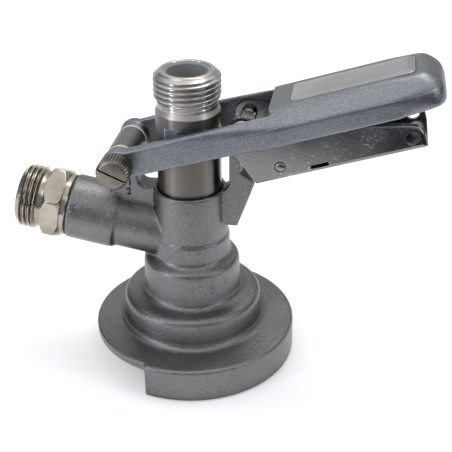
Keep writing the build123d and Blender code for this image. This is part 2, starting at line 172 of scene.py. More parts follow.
def skin(name, loops, closed=False, sharp_angle=35.0):
    """A solid through loops of equally many points, capped unless it closes on itself."""
    count, size = len(loops), len(loops[0])
    faces = []
    for row in range(count if closed else count - 1):
        low = row * size
        high = ((row + 1) % count) * size
        for i in range(size):
            j = (i + 1) % size
            faces.append((low + i, low + j, high + j, high + i))
    if not closed:
        faces.append(tuple(range(size)))
        faces.append(tuple((count - 1) * size + i for i in range(size)))
    return add_mesh(name, [point for loop in loops for point in loop], faces, sharp_angle)


def lathe(name, rings, segments, place, closed=True):
    """A skin through rings, each a function from an angle to a point in millimetres."""
    angles = [2 * math.pi * i / segments for i in range(segments)]
    loops = [[place @ (Vector(ring(angle)) * mm) for angle in angles] for ring in rings]
    return skin(name, loops, closed)


def circle(radius, height):
    """A plain ring."""
    return lambda angle: (radius * math.cos(angle), radius * math.sin(angle), height)


def circles(corners):
    """Plain rings through (radius, height) corners."""
    return [circle(radius, height) for radius, height in corners]


def rounded(corners, radius=0.25, steps=3):
    """The corners of a profile with each one eased by a short curve."""
    path = [corners[0]]
    for before, here, after in zip(corners, corners[1:], corners[2:]):
        a, b, c = Vector(before), Vector(here), Vector(after)
        reach = min(radius, (a - b).length * 0.45, (c - b).length * 0.45)
        start = b + (a - b).normalized() * reach
        end = b + (c - b).normalized() * reach
        for i in range(steps + 1):
            t = i / steps
            path.append(tuple(start * (1 - t) ** 2 + b * (2 * t * (1 - t)) + end * t * t))
    path.append(corners[-1])
    return path


def eased(value):
    """A smooth step from 0 to 1."""
    value = min(max(value, 0.0), 1.0)
    return value * value * (3 - 2 * value)


def thread_rings(low, high, chamfer, run_out=None):
    """Rings of a screw thread with a chamfered end.

    Where a run-out height is given, the thread fades into the neck below it.
    """
    rows_per_pitch = 14
    rows = int((high - low) / thread_pitch * rows_per_pitch)
    crest, flank = 0.16, 0.66
    lead_in, lead_out = 0.5 * thread_pitch, 0.15 * thread_pitch
    fade, ripple_height = 2.6, 0.10
    chamfer_slope = 1.2

    def ring(height):
        def point(angle):
            turn = (height / thread_pitch - angle / (2 * math.pi)) % 1.0
            slope = 1 - abs(2 * turn - 1)
            cut = min(max((slope - crest) / flank, 0.0), 1.0)
            cut = eased(cut) * 0.35 + cut * 0.65
            start = eased((height - low) / lead_in)
            end = min(max((high - height) / lead_out, 0.0), 1.0)
            radius = thread_radius - thread_depth * cut * start * end
            if run_out is not None:
                full = eased((height - run_out + fade) / fade)
                ripple = ripple_height * math.sin(4 * math.pi * turn) * start
                radius = relief_radius + ripple * (1 - full) + (radius - relief_radius) * full
            end_radius = thread_radius - chamfer + max(high - height, 0.0) * chamfer_slope
            radius = min(radius, end_radius)
            return radius * math.cos(angle), radius * math.sin(angle), height
        return point

    return [ring(low + (high - low) * row / rows) for row in range(rows + 1)]


def evaluated_mesh(piece):
    """The mesh that an object's curves or modifiers give."""
    bpy.context.view_layer.update()
    graph = bpy.context.evaluated_depsgraph_get()
    return bpy.data.meshes.new_from_object(piece.evaluated_get(graph))


def apply_modifiers(piece):
    """Puts the result of the piece's modifiers into its mesh."""
    mesh = evaluated_mesh(piece)
    piece.modifiers.clear()
    piece.data = mesh
    piece.vertex_groups.clear()


def cut_away(piece, tool):
    """Takes the tool's volume out of the piece and deletes the tool."""
    modifier = piece.modifiers.new("cut", "BOOLEAN")
    modifier.operation = "DIFFERENCE"
    modifier.solver = "EXACT"
    modifier.object = tool
    apply_modifiers(piece)
    piece.data.shade_smooth()
    piece.data.set_sharp_from_angle(angle=math.radians(30))
    bpy.data.objects.remove(tool)


def box_tool(name, size, place):
    """A box in millimetres, centred on the origin of its place."""
    half = [length / 2 * mm for length in size]
    signs = [(x, y, z) for x in (-1, 1) for y in (-1, 1) for z in (-1, 1)]
    corners = [Vector((x * half[0], y * half[1], z * half[2])) for x, y, z in signs]
    faces = [(0, 1, 3, 2), (4, 6, 7, 5), (0, 4, 5, 1), (2, 3, 7, 6), (0, 2, 6, 4), (1, 5, 7, 3)]
    return add_mesh(name, [place @ corner for corner in corners], faces)


# ---- material helpers ----------------------------------------------------
class Finish:
    """A node material built around one Principled shader."""

    def __init__(self, name, metallic, roughness):
        self.material = bpy.data.materials.new(name)
        self.material.use_nodes = True
        self.tree = self.material.node_tree
        self.shader = self.tree.nodes["Principled BSDF"]
        self.shader.inputs["Metallic"].default_value = metallic
        self.shader.inputs["Roughness"].default_value = roughness
        self.place = self.tree.nodes.new("ShaderNodeTexCoord").outputs["Object"]

    def node(self, kind, **settings):
        """A new node of a kind, with its settings."""
        made = self.tree.nodes.new(kind)
        for key, value in settings.items():
            setattr(made, key, value)
        return made

    def link(self, output, target):
        self.tree.links.new(output, target)

    def stretched(self, scale, turn=(0.0, 0.0, 0.0)):
        """The object's coordinates, turned and scaled along each axis."""
        turned = self.node("ShaderNodeMapping", vector_type="TEXTURE")
        turned.inputs["Rotation"].default_value = turn
        self.link(self.place, turned.inputs["Vector"])
        scaled = self.node("ShaderNodeMapping", vector_type="POINT")
        scaled.inputs["Scale"].default_value = scale
        self.link(turned.outputs["Vector"], scaled.inputs["Vector"])
        return scaled.outputs["Vector"]

    def coordinate(self, axis):
        """A coordinate in metres at rest: X towards the handle, Y back, Z up."""
        split = self.node("ShaderNodeSeparateXYZ")
        self.link(self.place, split.inputs["Vector"])
        return split.outputs[axis]

    def parting_line(self):
        """1 within a hair of the lever's parting plane, at rest."""
        up = lever_frame.to_3x3() @ Vector((0.0, 0.0, 1.0))
        plane = up.dot(pivot) + parting_height * mm
        rise = self.node("ShaderNodeVectorMath", operation="DOT_PRODUCT")
        self.link(self.place, rise.inputs[0])
        rise.inputs[1].default_value = up
        gap = self.maths("ABSOLUTE", self.maths("SUBTRACT", rise.outputs["Value"], plane), 0.0)
        return self.ranged(gap, 0.00010, 0.00030, 1.0, 0.0)

    def noise(self, scale, detail=3.0, roughness=0.55, vector=None):
        """Noise whose lumps are about 1/scale metres wide."""
        texture = self.node("ShaderNodeTexNoise")
        texture.inputs["Scale"].default_value = scale
        texture.inputs["Detail"].default_value = detail
        texture.inputs["Roughness"].default_value = roughness
        self.link(vector or self.place, texture.inputs["Vector"])
        return texture.outputs["Fac"]

    def ranged(self, value, low, high, to_low=0.0, to_high=1.0):
        """The value's span from low to high, spread over another span."""
        spread = self.node("ShaderNodeMapRange")
        spread.inputs["From Min"].default_value = low
        spread.inputs["From Max"].default_value = high
        spread.inputs["To Min"].default_value = to_low
        spread.inputs["To Max"].default_value = to_high
        self.link(value, spread.inputs["Value"])
        return spread.outputs["Result"]

    def maths(self, kind, first, second):
        """Two values joined by one operation; the second may be a number."""
        made = self.node("ShaderNodeMath", operation=kind)
        self.link(first, made.inputs[0])
        if isinstance(second, (int, float)):
            made.inputs[1].default_value = second
        else:
            self.link(second, made.inputs[1])
        return made.outputs[0]

    def blend(self, factor, first, second):
        """A colour between two colours; either may be a constant or a socket."""
        mix = self.node("ShaderNodeMix", data_type="RGBA")
        self.link(factor, mix.inputs["Factor"])
        for socket, colour in ((mix.inputs[6], first), (mix.inputs[7], second)):
            if isinstance(colour, tuple):
                socket.default_value = (*colour, 1.0)
            else:
                self.link(colour, socket)
        return mix.outputs[2]

    def clouded(self, texture, dark, light):
        """A colour that follows a noise from one colour to another."""
        return self.blend(self.ranged(texture, 0.35, 0.65), dark, light)

    def edges(self, radius, low=0.02, high=0.25):
        """1 where the surface turns within the radius, 0 on open faces."""
        soft = self.node("ShaderNodeBevel", samples=6)
        soft.inputs["Radius"].default_value = radius
        plain = self.node("ShaderNodeNewGeometry")
        dot = self.node("ShaderNodeVectorMath", operation="DOT_PRODUCT")
        self.link(soft.outputs["Normal"], dot.inputs[0])
        self.link(plain.outputs["Normal"], dot.inputs[1])
        return self.ranged(dot.outputs["Value"], 1.0 - low, 1.0 - high, 0.0, 1.0)

    def crevices(self, distance):
        """1 in open places, falling to 0 deep in corners."""
        shade = self.node("ShaderNodeAmbientOcclusion", samples=6)
        shade.inputs["Distance"].default_value = distance
        return shade.outputs["AO"]

    def shade_and_grime(self, colour, distance, deep, clear, amount, grime_and_shade):
        """The colour darkened in its corners: painted shade, with some soiling."""
        # painted shade: ambient occlusion darkens corners and hollows towards a dark colour
        shade_and_dirt = self.ranged(self.crevices(distance), deep, clear, amount, 0.0)
        return self.blend(shade_and_dirt, colour, grime_and_shade)

    def rubbed_and_highlit(self, colour, edges, share, bare):
        """The colour with a share of its edges lighter: worn bare, and painted as highlight."""
        # edges lighter: wear and painted highlight
        return self.blend(self.maths("MULTIPLY", edges, share), colour, bare)

    def bumps(self, *layers):
        """Stacks (height, distance in metres, strength) bumps on the shader's normal."""
        normal = None
        for height, distance, strength in layers:
            bump = self.node("ShaderNodeBump")
            bump.inputs["Distance"].default_value = distance
            bump.inputs["Strength"].default_value = strength
            self.link(height, bump.inputs["Height"])
            if normal is not None:
                self.link(normal, bump.inputs["Normal"])
            normal = bump.outputs["Normal"]
        self.link(normal, self.shader.inputs["Normal"])

    def scratches(self, turn, scale=160.0, length=0.06, threshold=0.62):
        """Thin bright lines along one direction, 1 on a scratch and 0 elsewhere."""
        stretched = self.stretched((1.0, length, 1.0), turn)
        lines = self.noise(scale * 6, 2.0, 0.5, stretched)
        patch = self.noise(scale * 0.35, 2.0, 0.5)
        fine = self.ranged(lines, threshold, threshold + 0.05)
        return self.maths("MULTIPLY", fine, self.ranged(patch, 0.42, 0.62))

    def done(self, colour, roughness=None):
        """The material, with its colour and roughness linked."""
        self.link(colour, self.shader.inputs["Base Color"])
        if roughness is not None:
            self.link(roughness, self.shader.inputs["Roughness"])
        return self.material


# ---- materials -----------------------------------------------------------
def cast_stainless():
    """Bead-blasted investment casting: fine grain with its specks painted light as glints, soft mottling, painted
    shade in the corners, and edges worn bare and painted light as highlight.
    """
    finish = Finish("cast_stainless", 1.0, 0.42)
    mottle = finish.noise(60, 4.0, 0.6)
    grain = finish.noise(2000, 2.0, 0.6)
    pits = finish.noise(520, 3.0, 0.55)
    colour = finish.clouded(mottle, (0.135, 0.133, 0.136), (0.185, 0.181, 0.182))
    # light grain specks: painted glints
    glint_speckle = finish.ranged(grain, 0.35, 0.65)
    colour = finish.blend(finish.maths("MULTIPLY", glint_speckle, 0.6), colour, (0.29, 0.287, 0.288))
    # painted shade in the corners, with some soiling
    colour = finish.shade_and_grime(colour, 0.006, 0.35, 0.85, 0.75, (0.045, 0.043, 0.042))
    uneven = finish.ranged(pits, 0.4, 0.62, 0.3, 1.0)
    # edges lighter: wear and painted highlight
    colour = finish.rubbed_and_highlit(colour, finish.edges(0.0011, 0.015, 0.16), uneven, (0.40, 0.40, 0.41))
    rough = finish.ranged(mottle, 0.3, 0.7, 0.28, 0.40)
    pock = finish.ranged(pits, 0.62, 0.72, 0.0, -1.0)
    peel = finish.noise(1900, 2.0, 0.6)
    finish.bumps(
        (grain, 0.00014, 0.7), (peel, 0.00013, 0.65), (pock, 0.00016, 0.7), (pits, 0.00012, 0.4),
    )
    return finish.done(colour, rough)


def chromed_zinc():
    """Satin chrome on a die casting: cool, with a fine sparkle, a broken painted highlight along the parting line,
    painted shade in the corners and painted highlight on the edges.
    """
    finish = Finish("chromed_zinc", 1.0, 0.4)
    cloud = finish.noise(45, 3.0)
    sparkle = finish.noise(2300, 2.0, 0.7)
    ripple = finish.noise(120, 2.0)
    colour = finish.clouded(cloud, (0.165, 0.172, 0.187), (0.225, 0.234, 0.25))
    glint = finish.ranged(sparkle, 0.42, 0.66, 0.0, 0.7)
    colour = finish.blend(glint, colour, (0.35, 0.37, 0.40))
    # the parting line painted lighter: painted highlight, broken by noise
    broken = finish.ranged(finish.noise(900, 2.0), 0.35, 0.55, 0.0, 0.6)
    seam_highlight = finish.maths("MULTIPLY", finish.parting_line(), broken)
    towards_grip = finish.ranged(finish.coordinate("X"), 0.005, 0.035, 0.1, 1.0)
    seam_highlight = finish.maths("MULTIPLY", seam_highlight, towards_grip)
    colour = finish.blend(seam_highlight, colour, (0.52, 0.55, 0.60))
    # painted shade in the corners
    colour = finish.shade_and_grime(colour, 0.004, 0.3, 0.8, 0.7, (0.05, 0.055, 0.065))
    # edges and crest lighter: painted highlight and wear
    colour = finish.rubbed_and_highlit(colour, finish.edges(0.0010, 0.015, 0.14), 0.85, (0.52, 0.525, 0.53))
    rough = finish.ranged(cloud, 0.3, 0.7, 0.32, 0.44)
    finish.bumps((sparkle, 0.00014, 0.75), (ripple, 0.0003, 0.3))
    return finish.done(colour, rough)


def turned_stainless():
    """Turned steel with fine tool rings; the lower part painted dark as shade and the upper threaded part painted
    bright as light, with a painted highlight on the shoulder's cone and a pale blue painted highlight on the
    milled flats.
    """
    finish = Finish("turned_stainless", 1.0, 0.16)
    rings = finish.noise(9, 2.0, 0.6, finish.stretched((0.4, 0.4, 420.0)))
    fine = finish.noise(9, 2.0, 0.6, finish.stretched((0.8, 0.8, 1900.0)))
    cloud = finish.noise(70, 2.0)
    height = finish.coordinate("Z")
    shoulder = probe_shoulder * mm
    streaks = finish.ranged(rings, 0.35, 0.65)
    # one steel in two colours: the lower part painted dark as shade, the part above the shoulder painted bright as
    # light
    shaded_sleeve = finish.blend(streaks, (0.150, 0.136, 0.124), (0.215, 0.198, 0.184))
    lit_crown = finish.blend(streaks, (0.47, 0.45, 0.43), (0.62, 0.60, 0.575))
    upper = finish.ranged(height, shoulder + 0.0003, shoulder + 0.0023)
    colour = finish.blend(upper, shaded_sleeve, lit_crown)
    # painted highlight on the shoulder's cone
    band_foot = finish.ranged(height, shoulder - 0.0001, shoulder + 0.0001)
    band_top = finish.ranged(height, shoulder + 0.0016, shoulder + 0.0018, 1.0, 0.0)
    band_highlight = finish.maths("MULTIPLY", band_foot, band_top)
    colour = finish.blend(band_highlight, colour, (0.60, 0.58, 0.55))
    # painted shade in the corners, tinted brown with soiling
    colour = finish.shade_and_grime(colour, 0.003, 0.3, 0.8, 0.5, (0.075, 0.064, 0.055))
    # the milled flats painted pale blue: painted highlight
    side = finish.maths("ABSOLUTE", finish.coordinate("Y"), 0.0)
    flat = finish.ranged(side, (flat_reach - 0.04) * mm, (flat_reach - 0.02) * mm)
    in_pocket = finish.ranged(height, pocket_high * mm, (pocket_high + 0.02) * mm, 1.0, 0.0)
    above_foot = finish.ranged(height, pocket_low * mm, (pocket_low + 0.02) * mm)
    flat = finish.maths("MULTIPLY", flat, finish.maths("MULTIPLY", in_pocket, above_foot))
    colour = finish.blend(flat, colour, (0.58, 0.68, 0.76))
    # edges lighter: wear and painted highlight
    colour = finish.rubbed_and_highlit(colour, finish.edges(0.0003), 0.6, (0.50, 0.48, 0.46))
    rough = finish.ranged(cloud, 0.3, 0.7, 0.26, 0.34)
    rough = finish.maths("ADD", rough, finish.maths("MULTIPLY", band_highlight, 0.2))
    finish.bumps((rings, 0.00004, 0.35), (fine, 0.00002, 0.25))
    around = finish.node("ShaderNodeTangent", direction_type="RADIAL", axis="Z")
    finish.link(around.outputs["Tangent"], finish.shader.inputs["Tangent"])
    finish.shader.inputs["Anisotropic"].default_value = 0.85
    finish.shader.inputs["Anisotropic Rotation"].default_value = 0.25
    return finish.done(colour, rough)


def nickel_brass():
    """Nickel plate over brass: warm, lighter on the crests from wear and painted highlight, brown in the roots
    from painted shade and soiling.
    """
    finish = Finish("nickel_brass", 1.0, 0.2)
    cloud = finish.noise(110, 3.0, 0.6)
    wear = finish.noise(420, 3.0, 0.6)
    colour = finish.clouded(cloud, (0.34, 0.30, 0.245), (0.46, 0.425, 0.37))
    scratch = finish.scratches((0.3, 1.1, 0.4))
    colour = finish.blend(finish.maths("MULTIPLY", scratch, 0.6), colour, (0.66, 0.63, 0.57))
    # painted shade in the thread roots and corners, tinted brown with soiling
    colour = finish.shade_and_grime(colour, 0.0028, 0.3, 0.85, 0.85, (0.06, 0.042, 0.024))
    uneven = finish.ranged(wear, 0.35, 0.6, 0.2, 1.0)
    # crests and edges lighter: wear and painted highlight
    colour = finish.rubbed_and_highlit(colour, finish.edges(0.0004), uneven, (0.66, 0.60, 0.50))
    rough = finish.ranged(wear, 0.3, 0.7, 0.14, 0.30)
    finish.bumps((wear, 0.00003, 0.30), (scratch, 0.00002, 0.35))
    return finish.done(colour, rough)


def worn_nickel():
    """The screw head's plating, handled until it is dull and brown."""
    finish = Finish("worn_nickel", 1.0, 0.34)
    cloud = finish.noise(260, 4.0, 0.6)
    fine = finish.noise(2400, 2.0, 0.6)
    colour = finish.clouded(cloud, (0.17, 0.148, 0.125), (0.27, 0.245, 0.215))
    # painted shade in the slot and knurl, with light soiling
    colour = finish.shade_and_grime(colour, 0.0010, 0.3, 0.85, 0.55, (0.13, 0.115, 0.09))
    # edges lighter: wear and painted highlight
    colour = finish.rubbed_and_highlit(colour, finish.edges(0.0003), 0.8, (0.52, 0.48, 0.42))
    finish.bumps((fine, 0.00005, 0.4), (cloud, 0.00008, 0.3))
    return finish.done(colour, finish.ranged(cloud, 0.3, 0.7, 0.28, 0.42))


def stamped_shadow():
    """Painted shadow: near-black metal for the fin's small numbers."""
    finish = Finish("stamped_shadow", 1.0, 0.5)
    fine = finish.noise(1800, 2.0, 0.6)
    colour = finish.clouded(fine, (0.045, 0.045, 0.046), (0.085, 0.083, 0.081))
    finish.bumps((fine, 0.00005, 0.4))
    return finish.done(colour)


def sheet_stainless():
    """Cold-rolled sheet: a faint roll grain and handling scratches."""
    finish = Finish("sheet_stainless", 1.0, 0.2)
    lean = (0.0, math.radians(lever_rise), 0.0)
    roll = finish.noise(14, 3.0, 0.6, finish.stretched((0.6, 5.0, 60.0), lean))
    cloud = finish.noise(55, 3.0)
    colour = finish.clouded(cloud, (0.215, 0.212, 0.21), (0.28, 0.276, 0.274))
    scratch = finish.scratches((0.0, 1.0, 0.0))
    across = finish.scratches((0.4, -0.5, 0.9), 220.0, 0.08, 0.64)
    colour = finish.blend(finish.maths("MULTIPLY", scratch, 0.7), colour, (0.74, 0.74, 0.74))
    colour = finish.blend(finish.maths("MULTIPLY", across, 0.6), colour, (0.24, 0.24, 0.25))
    # painted shade in the corners
    colour = finish.shade_and_grime(colour, 0.003, 0.25, 0.75, 0.7, (0.06, 0.06, 0.06))
    # edges and hole rims lighter: wear and painted highlight
    colour = finish.rubbed_and_highlit(colour, finish.edges(0.0003), 0.8, (0.66, 0.66, 0.66))
    rough = finish.ranged(cloud, 0.3, 0.7, 0.16, 0.27)
    finish.bumps((roll, 0.00004, 0.30), (scratch, 0.00003, 0.4))
    return finish.done(colour, rough)


def spring_steel():
    """Drawn wire, slightly dull and finely mottled."""
    finish = Finish("spring_steel", 1.0, 0.28)
    mottle = finish.noise(900, 2.0)
    colour = finish.clouded(mottle, (0.26, 0.26, 0.27), (0.42, 0.42, 0.43))
    finish.bumps((mottle, 0.00003, 0.3))
    return finish.done(colour)


def black_rubber():
    """Nitrile rubber with a dull bloom."""
    finish = Finish("black_rubber", 0.0, 0.55)
    bloom = finish.noise(300, 4.0, 0.6)
    bloomed = finish.ranged(bloom, 0.35, 0.7)
    colour = finish.blend(bloomed, (0.012, 0.012, 0.012), (0.035, 0.034, 0.033))
    finish.bumps((bloom, 0.00005, 0.35))
    return finish.done(colour, finish.ranged(bloom, 0.3, 0.7, 0.45, 0.65))


def grey_liner():
    """Moulded light grey plastic, slightly glossy, with faint flow marks."""
    finish = Finish("grey_liner", 0.0, 0.38)
    finish.shader.inputs["Specular IOR Level"].default_value = 0.3
    flow = finish.noise(90, 3.0)
    fine = finish.noise(1400, 2.0)
    colour = finish.clouded(flow, (0.235, 0.243, 0.25), (0.29, 0.298, 0.306))
    # painted shade in the corners and hollows
    colour = finish.shade_and_grime(colour, 0.004, 0.3, 0.9, 0.6, (0.14, 0.145, 0.15))
    finish.bumps((fine, 0.00003, 0.25))
    return finish.done(colour, finish.ranged(flow, 0.3, 0.7, 0.32, 0.44))


def white_nylon():
    """Natural nylon, milky with a fine moulded grain."""
    finish = Finish("white_nylon", 0.0, 0.45)
    milk = finish.noise(140, 3.0)
    colour = finish.clouded(milk, (0.70, 0.68, 0.61), (0.80, 0.78, 0.72))
    finish.bumps((finish.noise(1200, 2.0), 0.00003, 0.3))
    return finish.done(colour, finish.ranged(milk, 0.3, 0.7, 0.4, 0.52))


def label_resin():
    """A clear domed resin over a bare silver-grey plate."""
    finish = Finish("label_resin", 0.35, 0.3)
    cloud = finish.noise(35, 2.0)
    grain = finish.noise(2200, 2.0)
    colour = finish.clouded(cloud, (0.20, 0.195, 0.195), (0.28, 0.275, 0.275))
    colour = finish.blend(finish.ranged(grain, 0.55, 0.7, 0.0, 0.35), colour, (0.58, 0.59, 0.61))
    # rim lighter: painted highlight with wear
    colour = finish.rubbed_and_highlit(colour, finish.edges(0.0005, 0.01, 0.12), 0.8, (0.62, 0.62, 0.63))
    finish.shader.inputs["Coat Weight"].default_value = 1.0
    finish.shader.inputs["Coat Roughness"].default_value = 0.06
    finish.bumps((grain, 0.00002, 0.2))
    return finish.done(colour)


finishes = {
    "cast_stainless": cast_stainless(),
    "chromed_zinc": chromed_zinc(),
    "turned_stainless": turned_stainless(),
    "nickel_brass": nickel_brass(),
    "sheet_stainless": sheet_stainless(),
    "spring_steel": spring_steel(),
    "black_rubber": black_rubber(),
    "grey_liner": grey_liner(),
    "white_nylon": white_nylon(),
    "label_resin": label_resin(),
}

for subpart in frame["record"]["subparts"]:
    node = nodes[subpart["node"]]
    for material_slot in node.material_slots:
        material_slot.material = finishes[subpart["material_slot"]]


def dress(piece, body, slot, replaced=None, finish=None):
    """Gives a piece its finish and its body, and hides the CAD node it stands for."""
    piece.data.materials.clear()
    piece.data.materials.append(finish or finishes[slot])
    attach(piece, body)
    if replaced:
        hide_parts(replaced)
    return piece


# ---- probe with its outlet thread ----------------------------------------
def probe_shell():
    """The turned probe: milled drive flats, shoulder, relief, thread and bore."""
    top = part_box("probe_tube")[1].z / mm
    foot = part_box("probe_tube")[0].z / mm

    def flatted(radius, height):
        def point(angle):
            x, y = radius * math.cos(angle), radius * math.sin(angle)
            return x, max(-flat_reach, min(flat_reach, y)), height
        return point

    lower = circles([
        (foot_spigot_radius, foot), (foot_spigot_radius, foot_seal_top),
        (probe_waist_radius, foot_seal_top), (probe_waist_radius, waist_top - 2.6),
        (probe_waist_radius + 0.5, waist_top - 1.4), (probe_radius - 0.3, waist_top - 0.2),
        (probe_radius, waist_top + 0.2), (probe_radius, oring_z - oring_groove),
        (oring_floor, oring_z - oring_groove), (oring_floor, oring_z + oring_groove),
        (probe_radius, oring_z + oring_groove), (probe_radius, pocket_low),
    ])
    flats = [flatted(probe_radius, height) for height in (pocket_low, pocket_high)]
    neck_foot, neck_end = probe_shoulder + 1.7, probe_shoulder + 1.9
    neck = circles(rounded([
        (probe_radius, pocket_high), (probe_radius, probe_shoulder),
        (relief_radius, neck_foot), (relief_radius, neck_end),
    ], 0.3))
    end_chamfer = 1.7
    thread = thread_rings(neck_end, top - 0.5, end_chamfer, run_out=thread_start + 0.6)
    mouth = circles(rounded([
        (thread_radius - 1.75, top - 0.35), (thread_radius - 2.2, top),
        (liner_radius + 0.15, top), (liner_radius, top - 0.25),
    ], 0.15))
    bore = circles([(liner_radius, liner_foot), (cage_radius, liner_foot), (cage_radius, foot)])
    rings = lower + flats + neck + thread + mouth + bore
    return lathe("probe_shell", rings, turned_segments, Matrix.Identity(4))


dress(probe_shell(), "probe", "turned_stainless", "probe_tube")


# ---- gas nipple ----------------------------------------------------------
def nipple_shell():
    """The inlet fitting: collar, chamfered hexagon, relief, thread and bore."""
    corner_radius = hex_across_flats / math.sqrt(3)
    crown_radius = hex_across_flats / 2 + 0.15
    side_wear, corner_wear = 0.06, 0.12

    def hexagon(height):
        inset = min(height - collar_end, hex_end - height)

        def point(angle):
            sector = (math.degrees(angle) - hex_turn) % 60 - 30
            flat = hex_across_flats / 2 / math.cos(math.radians(sector))
            cone = crown_radius + (corner_radius - crown_radius) * inset / hex_chamfer
            radius = min(flat - side_wear, cone, corner_radius - corner_wear)
            return radius * math.cos(angle), radius * math.sin(angle), height
        return point

    foot = circles([
        (socket_thread_radius, nipple_foot), (socket_thread_radius, nipple_seat),
        (collar_radius - 0.15, nipple_seat), (collar_radius, nipple_seat + 0.2),
        (collar_radius, collar_end),
    ])
    steps = [0.0, 0.15, 0.3, 0.5, 0.75, 1.0, 1.35, hex_chamfer]
    hex_rings = [hexagon(collar_end + step) for step in steps]
    hex_rings += [hexagon(hex_end - step) for step in reversed(steps)]
    neck_end = hex_end + 3.1
    neck = circles(rounded([
        (crown_radius - 0.4, hex_end), (relief_radius, hex_end + 0.05),
        (relief_radius, hex_end + 2.3), (thread_radius - 0.15, neck_end),
    ], 0.3))
    end_chamfer = 1.5
    thread = thread_rings(neck_end, nipple_end - 0.35, end_chamfer)
    mouth = circles(rounded([
        (thread_radius - 1.7, nipple_end), (nipple_bore + 1.3, nipple_end),
        (nipple_bore, nipple_end - 1.3), (nipple_bore, nipple_end - 3.0),
    ], 0.2))
    bore = circles([(nipple_bore, nipple_foot)])
    rings = foot + hex_rings + neck + thread + mouth + bore
    return lathe("nipple_shell", rings, turned_segments, branch_frame)


dress(nipple_shell(), "base", "nickel_brass", "gas_nipple")


# ---- pivot screw ---------------------------------------------------------
def knurled_screw():
    """The slotted screw with a straight-knurled head."""
    place = lever_frame @ quarter_turn

    def knurl(radius, height):
        def point(angle):
            wave = abs((angle * knurl_teeth / (2 * math.pi)) % 1.0 - 0.5) * 2
            lowered = radius - knurl_depth * min(max((wave - 0.25) / 0.5, 0.0), 1.0)
            return lowered * math.cos(angle), lowered * math.sin(angle), height
        return point

    face = arm_outer + head_depth
    shank = circles([
        (screw_radius - 0.4, -screw_end), (screw_radius, -screw_end + 0.4),
        (screw_radius, arm_outer), (head_radius - 0.7, arm_outer),
        (head_radius - 0.45, arm_outer + 0.25),
    ])
    rim = [knurl(head_radius - 0.2, arm_outer + 0.5), knurl(head_radius, arm_outer + 0.8)]
    rim += [knurl(head_radius, face - 1.0), knurl(head_radius - 0.2, face - 0.7)]
    front = circles([
        (head_radius - 0.62, face - 0.45), (head_radius - 1.1, face - 0.08),
        (head_radius - 1.4, face),
    ])
    rings = shank + rim + front
    screw = lathe("knurled_screw", rings, knurl_teeth * 8, place, closed=False)
    turn = Matrix.Rotation(math.radians(slot_turn - lever_rise), 4, "Z")
    slot_place = place @ Matrix.Translation((0, 0, face * mm)) @ turn
    cut_away(screw, box_tool("slot_tool", (20.0, slot_width, slot_depth * 2), slot_place))
    return screw


dress(knurled_screw(), "lever", "nickel_brass", "pivot_screw", worn_nickel())


# ---- trigger's rivet -----------------------------------------------------
def domed_rivet():
    """The catch's rivet, each end peened to a low dome in a sunk ring."""
    low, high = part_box("catch_rivet")
    middle = (low + high) / 2
    half = (high.y - low.y) / 2 / mm
    radius = (high.x - low.x) / 2 / mm
    ring = 0.28
    dome = [
        (radius, half - 0.75), (radius - ring, half - 0.7), (radius - ring, half - 0.1),
        (radius - 0.42, half + 0.15), (radius - 0.85, half + 0.36), (radius - 1.5, half + 0.46),
    ]
    corners = [(r, -y) for r, y in reversed(dome)] + dome
    place = Matrix.Translation(middle) @ quarter_turn
    return lathe("domed_rivet", circles(corners), 48, place, closed=False)


dress(domed_rivet(), "trigger", "sheet_stainless", "catch_rivet")


# ---- label ---------------------------------------------------------------
def label_dome():
    """A rounded bare plate whose top swells like poured resin."""
    middle = (label_start + label_end) / 2
    half_length = (label_end - label_start) / 2
    floor, brim = handle_top - label_depth, handle_top - 0.1
    swell, swell_reach = 0.75, 4.5

    def loop(inset, height):
        corner = max(label_corner - inset, 0.4)
        points = []
        for quarter in range(4):
            side_x = 1 if quarter in (0, 3) else -1
            side_y = 1 if quarter in (0, 1) else -1
            centre_x = side_x * (half_length - inset - corner)
            centre_y = side_y * (label_half_width - inset - corner)
            for step in range(9):
                angle = math.radians(90 * quarter + 90 * step / 8)
                x = middle + centre_x + corner * math.cos(angle)
                y = centre_y + corner * math.sin(angle)
                points.append(lever_frame @ (Vector((x, y, height)) * mm))
        return points

    levels = [(0.0, floor), (0.0, brim)]
    for inset in (0.12, 0.4, 0.9, 1.7, 2.8, 4.2, 5.8, 7.2):
        rise = math.sin(math.pi / 2 * min(inset / swell_reach, 1.0)) ** 0.8
        levels.append((inset, brim + swell * rise))
    loops = [loop(inset, height) for inset, height in levels]
    return skin("label_dome", loops, sharp_angle=50.0)


dress(label_dome(), "lever", "label_resin", "label_plate")


# ---- castings ------------------------------------------------------------
def remeshed(name, node):
    """A copy of a CAD node on an even mesh, which can be softened."""
    piece = placed(name, nodes[node].data.copy())
    remesh = piece.modifiers.new("remesh", "REMESH")
    remesh.mode = "VOXEL"
    remesh.voxel_size = casting_voxel * mm
    apply_modifiers(piece)
    return piece


def soften(piece, passes, weight=None, frame_of=Matrix.Identity(4)):
    """Rounds edges off; weight takes a point in millimetres and gives 0 to 1."""
    smooth = piece.modifiers.new("smooth", "SMOOTH")
    smooth.factor = 0.5
    smooth.iterations = passes
    if weight:
        inverse = frame_of.inverted()
        group = piece.vertex_groups.new(name="soft")
        for vertex in piece.data.vertices:
            share = min(max(weight(*((inverse @ vertex.co) / mm)), 0.0), 1.0)
            if share > 0:
                group.add([vertex.index], share, "REPLACE")
        smooth.vertex_group = "soft"
    apply_modifiers(piece)
    piece.data.shade_smooth()


